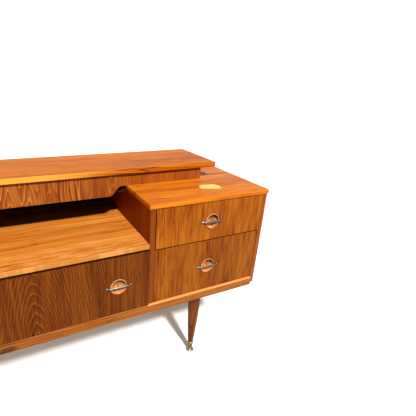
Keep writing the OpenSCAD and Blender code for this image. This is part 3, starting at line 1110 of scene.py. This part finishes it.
@dataclass
class Leg:
    """A turned tapered leg with a brass ferrule and a foot disc.

    Attributes:
        where: "front" or "rear".
        side: "left" or "right".
        ankle: radius where the ferrule starts.
        ferrule: height of the ferrule.
        foot: radius of the foot disc.
    """

    where: str
    side: str
    ankle: float = 10 * MM
    ferrule: float = 44 * MM
    foot: float = 15.5 * MM

    def build(self, bench: Bench) -> None:
        """Builds and dresses the leg.

        Args:
            bench: the bench that places it.
        """
        node = f"leg_{self.where}_{self.side}"
        low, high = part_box(node)
        centre = (low + high) / 2
        base = Vector((centre.x, centre.y, 0.0))
        up = Vector((0.0, 0.0, 1.0))
        rise = high.z - self.ferrule
        top = (high.x - low.x) / 2
        taper = [
            (self.ankle + (top - self.ankle) * math.sin(math.pi / 2 * t), self.ferrule + rise * t)
            for t in (i / 24 for i in range(24))
        ]
        shoulder = arc((top - 1.5 * MM, high.z - 1.5 * MM), 1.5 * MM, 0, 90, 4)
        spigot = [(0.0, low.z), (7 * MM, low.z), (7 * MM, self.ferrule - 2 * MM)]
        profile = [*spigot, *taper, *shoulder, (0.0, high.z)]
        shaft = turned(profile, up, base, 64)
        bench.place(f"turned_{node}", shaft, "carcase", bench.palette.leg(), "teak_solid", [node])

    def sleeve(self) -> bmesh.types.BMesh:
        """Turns the brass ferrule with two beads."""
        low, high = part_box(f"leg_{self.where}_{self.side}")
        base = Vector(((low.x + high.x) / 2, (low.y + high.y) / 2, 0.0))
        wide = self.ankle + 0.6 * MM
        profile = [(0.0, 4 * MM), (7.8 * MM, 4 * MM), (8 * MM, 6 * MM), (8.3 * MM, 9 * MM)]
        profile += arc((8.2 * MM, 11 * MM), 1.3 * MM, -80, 80, 6)
        profile += [(8.6 * MM, 13.4 * MM), (9.9 * MM, self.ferrule - 7 * MM)]
        profile += arc((9.9 * MM, self.ferrule - 4.5 * MM), 1.0 * MM, -70, 70, 5)
        profile += [(wide, self.ferrule - 2.6 * MM), (wide, self.ferrule - 0.4 * MM)]
        profile += [(wide - 0.4 * MM, self.ferrule), (0.0, self.ferrule)]
        return turned(profile, Vector((0.0, 0.0, 1.0)), base, 48)

    def disc(self) -> bmesh.types.BMesh:
        """Turns the domed foot disc."""
        low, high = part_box(f"leg_{self.where}_{self.side}")
        base = Vector(((low.x + high.x) / 2, (low.y + high.y) / 2, 0.0))
        profile = [(0.0, 0.0), (self.foot - 1.2 * MM, 0.0)]
        profile += arc((self.foot - 1.2 * MM, 1.2 * MM), 1.2 * MM, -90, 60, 6)
        profile += [(self.foot - 3 * MM, 3.4 * MM), (11 * MM, 4.6 * MM)]
        profile += [(8.5 * MM, 6.2 * MM), (0.0, 6.2 * MM)]
        return turned(profile, Vector((0.0, 0.0, 1.0)), base, 56)


@dataclass
class Legs:
    """The four legs and their feet."""

    places: tuple[str, ...] = ("front", "rear")

    def build(self, bench: Bench) -> None:
        """Builds and dresses the legs, ferrules, discs and studs.

        Args:
            bench: the bench that places them.
        """
        legs = [Leg(where, side) for where in self.places for side in SIDES]
        for leg in legs:
            leg.build(bench)
        sleeves = merge(leg.sleeve() for leg in legs)
        bench.place("ferrules", sleeves, "carcase", bench.palette.brass, "brass", ["foot_ferrules"])
        discs = merge(leg.disc() for leg in legs)
        bench.place("foot_discs", discs, "carcase", bench.palette.foot_nickel, "nickel")
        bench.dress("leg_studs", bench.palette.foot_nickel, 0.0)


@dataclass
class DrawerBox:
    """The beech box behind a drawer's front, with a plywood bottom in grooves.

    Attributes:
        name: name of the drawer.
        wall: thickness of the sides and back.
        bottom: thickness of the bottom.
        up: height of the bottom's underside above the box's lower edge.
        groove: how far the bottom enters the sides.
    """

    name: str
    wall: float = 10 * MM
    bottom: float = 4 * MM
    up: float = 8 * MM
    groove: float = 5 * MM

    def build(self, bench: Bench) -> None:
        """Builds and dresses the box.

        Args:
            bench: the bench that places it.
        """
        node = f"tray_{self.name}"
        body = f"drawer_{self.name}"
        low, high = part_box(node)
        sides = []
        for x in (low.x, high.x - self.wall):
            board = slab(Vector((x, low.y, low.z)), Vector((x + self.wall, high.y, high.z)))
            upper = edges_where(board, lambda p: abs(p.z - high.z) < 0.1 * MM)
            long = [e for e in upper if abs(e.verts[0].co.y - e.verts[1].co.y) > 0.1]
            round_edges(board, long, 3.5 * MM, 5)
            round_edges(board, sharp_edges(board, 60.0), 0.6 * MM, 2)
            sides.append(board)
        palette = bench.palette
        deep = palette.beech("beech_deep", Lay.DEEP_SIDE)
        bench.place(f"box_sides_{self.name}", merge(sides), body, deep, "beech", [node])
        floor_z = low.z + self.up
        back = slab(
            Vector((low.x + self.wall, high.y - self.wall, floor_z + self.bottom)),
            Vector((high.x - self.wall, high.y, high.z - 4 * MM)),
        )
        round_edges(back, sharp_edges(back), 0.8 * MM, 2)
        wide = palette.beech("beech_wide", Lay.ALONG_FRONT)
        bench.place(f"box_back_{self.name}", back, body, wide, "beech")
        inset = self.wall - self.groove
        floor = slab(
            Vector((low.x + inset, low.y, floor_z)), Vector((high.x - inset, high.y, floor_z + self.bottom))
        )
        round_edges(floor, sharp_edges(floor), 0.4 * MM, 2)
        ply = Plywood("drawer_bottom_ply", Lay.ALONG_TOP, paint(214, 170, 116))
        bench.place(f"box_bottom_{self.name}", floor, body, ply, "plywood")


@dataclass
class Drawer:
    """One drawer: its front, box and handles.

    Attributes:
        name: name of the drawer.
        handles: number of handles.
        seed: a number that gives the front its own grain.
    """

    name: str
    handles: int = 1
    seed: float = 0.0

    def build(self, bench: Bench) -> None:
        """Builds and dresses the drawer.

        Args:
            bench: the bench that places its pieces.
        """
        front = f"front_{self.name}"
        low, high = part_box(front)
        palette = bench.palette
        if self.handles == 2:
            cups, bars = "cups_centre", "bars_centre"
            finish = palette.front_crown(-26 * MM, low.z, low.y)
        else:
            cups, bars = f"cup_{self.name}", f"bar_{self.name}"
            finish = palette.front_straight(f"front_veneer_{self.name}", self.seed, low.y)
        bench.dress(front, finish, 0.6 * MM)
        first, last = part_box(cups)
        half = (last.z - first.z) / 2
        middle = (first.z + last.z) / 2
        places = [first.x + half] if self.handles == 1 else [first.x + half, last.x - half]
        centres = [Vector((x, low.y, middle)) for x in places]
        Handle(self.name, cups, bars, centres).build(bench, f"drawer_{self.name}")
        DrawerBox(self.name).build(bench)


@dataclass
class Carcase:
    """The fixed boards of the table."""

    def build(self, bench: Bench) -> None:
        """Builds and dresses the boards.

        Args:
            bench: the bench that dresses them.
        """
        palette = bench.palette
        for index, side in enumerate(SIDES):
            seed = 5.0 * index
            panel = palette.case(f"side_veneer_{side}", Lay.UP_SIDE, seed)
            bench.dress(f"side_panel_{side}", panel, 1.2 * MM)
            divider = palette.inner(
                f"divider_veneer_{side}", Lay.UP_SIDE, seed + 2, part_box(f"divider_{side}")[0].y
            )
            bench.dress(f"divider_{side}", divider, 1.0 * MM)
            bench.dress(f"back_panel_{side}", Plywood("back_ply", Lay.UP_FRONT, paint(150, 92, 46)), 0.3 * MM)
            bench.dress(f"box_front_{side}", palette.side_front(seed + 12.0))
            bench.dress(f"box_end_{side}", palette.case(f"box_end_veneer_{side}", Lay.UP_SIDE, seed + 7))
            PedestalTop(side).build(bench)
        # Painted shade: the centre back is near-black plywood, as deep in the niche's shadow.
        bench.dress("back_panel_centre", Plywood("centre_back_shaded_ply", Lay.UP_FRONT, paint(30, 12, 5)), 0.3 * MM)
        bench.dress("centre_top", palette.low_top(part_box("centre_top")[0].y), 1.6 * MM)
        bench.dress("base_rail", palette.rail(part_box("base_rail")[1].z), 1.5 * MM)
        bench.dress("apron_centre", palette.apron(), 0.8 * MM)
        bench.dress("box_back", palette.inner("box_back_teak", Lay.ALONG_FRONT, 3.0))
        # Painted shade: the well's partitions and floor are near-black plywood, as deep in the niche's
        # shadow.
        bench.dress("well_partitions", Plywood("partition_shaded_ply", Lay.UP_SIDE, paint(44, 18, 7)), 0.3 * MM)
        bench.dress("well_floor", Plywood("well_shaded_ply", Lay.ALONG_TOP, paint(44, 18, 7)), 0.3 * MM)
        bench.dress("base_board", palette.beech("beech_base", Lay.ALONG_TOP))
        bench.dress("drawer_runners", palette.beech("beech_deep", Lay.DEEP_SIDE), 0.5 * MM)
        bench.dress("drawer_stops", palette.beech("beech_up", Lay.UP_FRONT), 0.5 * MM)
        bench.dress("leg_bearers", palette.beech("beech_bearer", Lay.DEEP_TOP), 0.8 * MM)


@dataclass
class LidAndMirror:
    """The lid, its hinges and stops, and the mirror under it.

    Attributes:
        bevel: width of the mirror's bevelled border.
        fall: depth of the bevel at the glass's edge.
    """

    bevel: float = 12 * MM
    fall: float = 1.2 * MM

    def build(self, bench: Bench) -> None:
        """Builds and dresses the lid's pieces.

        Args:
            bench: the bench that places them.
        """
        palette = bench.palette
        bench.dress("mirror_lid", palette.lid(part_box("mirror_lid")[0].y), 1.8 * MM)
        for node in ("hinge_leaves_fixed", "hinge_leaves_moving", "hinge_pins", "lid_stops"):
            bench.dress(node, palette.brass, 0.15 * MM if "leaves" not in node else 0.0)
        bench.dress("mirror_clips", palette.nickel, 0.25 * MM)
        bench.dress("clip_screws", palette.foot_nickel, 0.0)
        low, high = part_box("mirror_glass")
        glass = slab(low, high)
        faces = [f for f in glass.faces if f.normal.z < -0.9]
        bmesh.ops.inset_region(glass, faces=faces, thickness=self.bevel, use_even_offset=True)
        rim = [v for v in glass.verts if v.co.z < low.z + 0.1 * MM]
        outer = [v for v in rim if abs(v.co.x - low.x) < 0.1 * MM or abs(v.co.x - high.x) < 0.1 * MM]
        bmesh.ops.translate(glass, verts=outer, vec=(0.0, 0.0, self.fall))
        bench.place(
            "bevelled_mirror", glass, "lid", MirrorSilver(low, high), "mirror", ["mirror_glass"], smooth=1.0
        )


@dataclass
class PaperTag:
    """A blank paper tag that lies on the right-hand top, a little curled.

    Attributes:
        lift: height of the curl at its far corners.
    """

    lift: float = 1.6 * MM

    def build(self, bench: Bench) -> None:
        """Builds and dresses the tag.

        Args:
            bench: the bench that places it.
        """
        low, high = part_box("paper_label")
        corners = ((222, 84), (228, 108), (247, 121), (288, 112), (300, 92), (291, 62))
        start = Vector((low.x - 222 * MM, low.y - 62 * MM, low.z + 0.1 * MM))
        shape = bmesh.new()
        shape.faces.new([shape.verts.new(start + Vector((x * MM, y * MM, 0.0))) for x, y in corners])
        for step in range(1, 10):
            cut = low.x + (high.x - low.x) * step / 10
            geometry = [*shape.verts, *shape.edges, *shape.faces]
            bmesh.ops.bisect_plane(shape, geom=geometry, plane_co=(cut, 0, 0), plane_no=(1, 0, 0))
        for vertex in shape.verts:
            share = (vertex.co.x - low.x) / (high.x - low.x)
            vertex.co.z += self.lift * (max(0.0, share - 0.55) ** 2 * 4 + max(0.0, 0.3 - share) ** 2 * 5)
        lifted = bmesh.ops.extrude_face_region(shape, geom=list(shape.faces))
        moved = [v for v in lifted["geom"] if isinstance(v, bmesh.types.BMVert)]
        bmesh.ops.translate(shape, verts=moved, vec=(0.0, 0.0, 0.3 * MM))
        paper = Paper(paint(222, 176, 96))
        bench.place("paper_tag", shape, "carcase", paper, "paper", ["paper_label"], smooth=50.0)


# ---- Studio ----


@dataclass
class Studio:
    """Pale floor and backdrop, soft light and the camera.

    Attributes:
        corner: lower inner front corner of the right-hand pedestal top.
        sun: strength of the key light.
        elevation: its height above the horizon, in degrees.
        swing: its turn towards the left, in degrees.
        soft: its apparent width, in degrees.
        fill: brightness of the surroundings.
    """

    corner: Vector
    sun: float = 6.6
    elevation: float = 47.5
    swing: float = 3.0
    soft: float = 5.0
    fill: float = 0.2

    def _sweep(self) -> None:
        """Makes the floor that curves up into a backdrop."""
        near, far, turn, height = -3.0, 3.5, 1.5, 5.0
        profile = [(near, 0.0)]
        profile += arc((far - turn, turn), turn, -90, 0, 16)
        profile += [(far, height)]
        shape = bmesh.new()
        points = [shape.verts.new((-14.0, y, z)) for y, z in profile]
        lines = [shape.edges.new(pair) for pair in zip(points, points[1:])]
        grown = bmesh.ops.extrude_edge_only(shape, edges=lines)
        moved = [v for v in grown["geom"] if isinstance(v, bmesh.types.BMVert)]
        bmesh.ops.translate(shape, verts=moved, vec=(34.0, 0.0, 0.0))
        mesh = bpy.data.meshes.new("sweep")
        shape.to_mesh(mesh)
        shape.free()
        mesh.polygons.foreach_set("use_smooth", [True] * len(mesh.polygons))
        graph = Graph("pale_floor")
        grain = graph.speckle(0.3, 3.0)
        mesh.materials.append(
            graph.finish(Base_Color=graph.blend(grain, (0.6, 0.6, 0.6), (0.63, 0.63, 0.63)), Roughness=0.9)
        )
        floor = bpy.data.objects.new("pale_floor", mesh)
        bpy.context.scene.collection.objects.link(floor)

    def _lights(self) -> None:
        """Hangs the key light and sets the surroundings."""
        key = bpy.data.lights.new("key", "SUN")
        key.energy = self.sun
        key.angle = math.radians(self.soft)
        key.color = (1.0, 0.985, 0.96)
        lamp = bpy.data.objects.new("key", key)
        lamp.rotation_euler = (math.radians(90 - self.elevation), 0.0, math.radians(-self.swing))
        bpy.context.scene.collection.objects.link(lamp)
        world = bpy.data.worlds.new("surroundings")
        world.use_nodes = True
        background = world.node_tree.nodes["Background"]
        background.inputs["Color"].default_value = (0.93, 0.96, 1.0, 1.0)
        background.inputs["Strength"].default_value = self.fill
        bpy.context.scene.world = world

    def _camera(self) -> None:
        """Sets the camera in front of the table, a little to the left, above it and slightly tilted."""
        camera = bpy.data.cameras.new("camera")
        camera.lens = 27.61
        camera.sensor_width = 36.0
        camera.shift_x = 0.1209
        camera.shift_y = -0.0041
        yaw, pitch, roll = (math.radians(a) for a in (26.1, -21.43, 2.295))
        ahead = Vector((math.sin(yaw) * math.cos(pitch), math.cos(yaw) * math.cos(pitch), math.sin(pitch)))
        right = Vector((math.cos(yaw), -math.sin(yaw), 0.0))
        up = right.cross(ahead)
        side = right * math.cos(roll) + up * math.sin(roll)
        top = up * math.cos(roll) - right * math.sin(roll)
        stand = bpy.data.objects.new("camera", camera)
        place = self.corner + Vector((-0.3544, -0.7691, 0.3468))
        stand.matrix_world = Matrix.Translation(place) @ Matrix((side, top, -ahead)).transposed().to_4x4()
        bpy.context.scene.collection.objects.link(stand)
        bpy.context.scene.camera = stand

    def build(self) -> None:
        """Sets up the studio."""
        self._sweep()
        self._lights()
        self._camera()
        bpy.context.scene.view_settings.view_transform = "Standard"
        LOG.info("set up the studio")


def main() -> None:
    """Builds the table's looks in order."""
    logging.basicConfig(level=logging.INFO, format="%(message)s")
    bench = Bench(Palette())
    Carcase().build(bench)
    Legs().build(bench)
    for index, name in enumerate(("upper_left", "upper_right", "lower_left", "lower_right")):
        Drawer(name, seed=111.0 + 7 * index).build(bench)
    Drawer("centre", handles=2).build(bench)
    LidAndMirror().build(bench)
    PaperTag().build(bench)
    Studio(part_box("pedestal_top_right")[0]).build()


if __name__ == "__main__":
    main()
